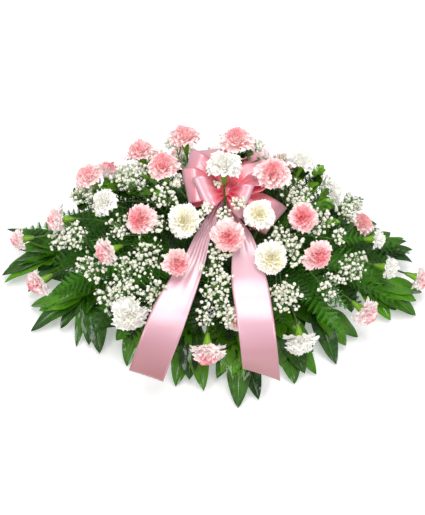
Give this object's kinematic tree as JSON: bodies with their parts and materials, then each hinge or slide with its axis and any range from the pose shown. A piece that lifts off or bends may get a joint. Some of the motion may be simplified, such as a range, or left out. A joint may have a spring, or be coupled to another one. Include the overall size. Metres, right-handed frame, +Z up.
{
  "type": "casket spray",
  "caption": "Long low mound of carnations, baby's breath, fern and palm leaves in foam on a saddle tray, with a satin bow and tails; lies on a flat closed lid.",
  "frame": {"origin": "middle of the flat underside of the saddle pad, which is what the spray rests on", "axes": "+X along the spray to the right of a viewer who stands before the bow, +Y to the back, +Z up"},
  "size_m": [0.9445, 0.643, 0.3997],
  "materials": {
    "petals_pink": "matte",
    "petals_blush": "matte",
    "petals_white": "matte",
    "stems_and_fern": "satin",
    "palm_leaf": "gloss",
    "babys_breath": "matte",
    "satin_ribbon": "gloss",
    "bow_pick": "matte",
    "anchor_tape": "satin",
    "wet_foam": "matte",
    "saddle_tray": "satin",
    "saddle_pad": "matte"
  },
  "bodies": {
    "root": {"carnation_01_pink": "petals_pink", "carnation_02_pink": "petals_pink", "carnation_03_pink": "petals_pink", "carnation_04_pink": "petals_pink", "carnation_05_pink": "petals_pink", "carnation_06_blush": "petals_blush", "carnation_07_white": "petals_white", "carnation_08_white": "petals_white", "carnation_09_pink": "petals_pink", "carnation_10_white": "petals_white", "carnation_11_white": "petals_white", "carnation_12_white": "petals_white", "carnation_13_pink": "petals_pink", "carnation_14_pink": "petals_pink", "carnation_15_pink": "petals_pink", "carnation_16_blush": "petals_blush", "carnation_17_blush": "petals_blush", "carnation_18_blush": "petals_blush", "carnation_19_blush": "petals_blush", "carnation_20_white": "petals_white", "carnation_21_pink": "petals_pink", "carnation_22_white": "petals_white", "carnation_23_pink": "petals_pink", "carnation_24_pink": "petals_pink", "carnation_25_white": "petals_white", "carnation_26_white": "petals_white", "carnation_27_pink": "petals_pink", "carnation_28_white": "petals_white", "carnation_29_white": "petals_white", "carnation_30_blush": "petals_blush", "carnation_31_blush": "petals_blush", "carnation_32_blush": "petals_blush", "carnation_33_white": "petals_white", "carnation_34_pink": "petals_pink", "carnation_35_pink": "petals_pink", "carnation_36_white": "petals_white", "carnation_37_pink": "petals_pink", "carnation_38_blush": "petals_blush", "stems_and_fern_front": "stems_and_fern", "stems_and_fern_middle": "stems_and_fern", "stems_and_fern_back": "stems_and_fern", "palm_left": "palm_leaf", "palm_front_left": "palm_leaf", "palm_front_right": "palm_leaf", "palm_right": "palm_leaf", "palm_back_left": "palm_leaf", "palm_back_right": "palm_leaf", "bow_loops": "satin_ribbon", "bow_tail_left": "satin_ribbon", "bow_tail_right": "satin_ribbon", "bow_pick": "bow_pick", "anchor_tape_left": "anchor_tape", "anchor_tape_right": "anchor_tape", "babys_breath_left": "babys_breath", "babys_breath_centre": "babys_breath", "babys_breath_right": "babys_breath", "babys_breath_back": "babys_breath", "foam_block": "wet_foam", "saddle_tray": "saddle_tray", "saddle_pad": "saddle_pad"}
  },
  "joints": []
}
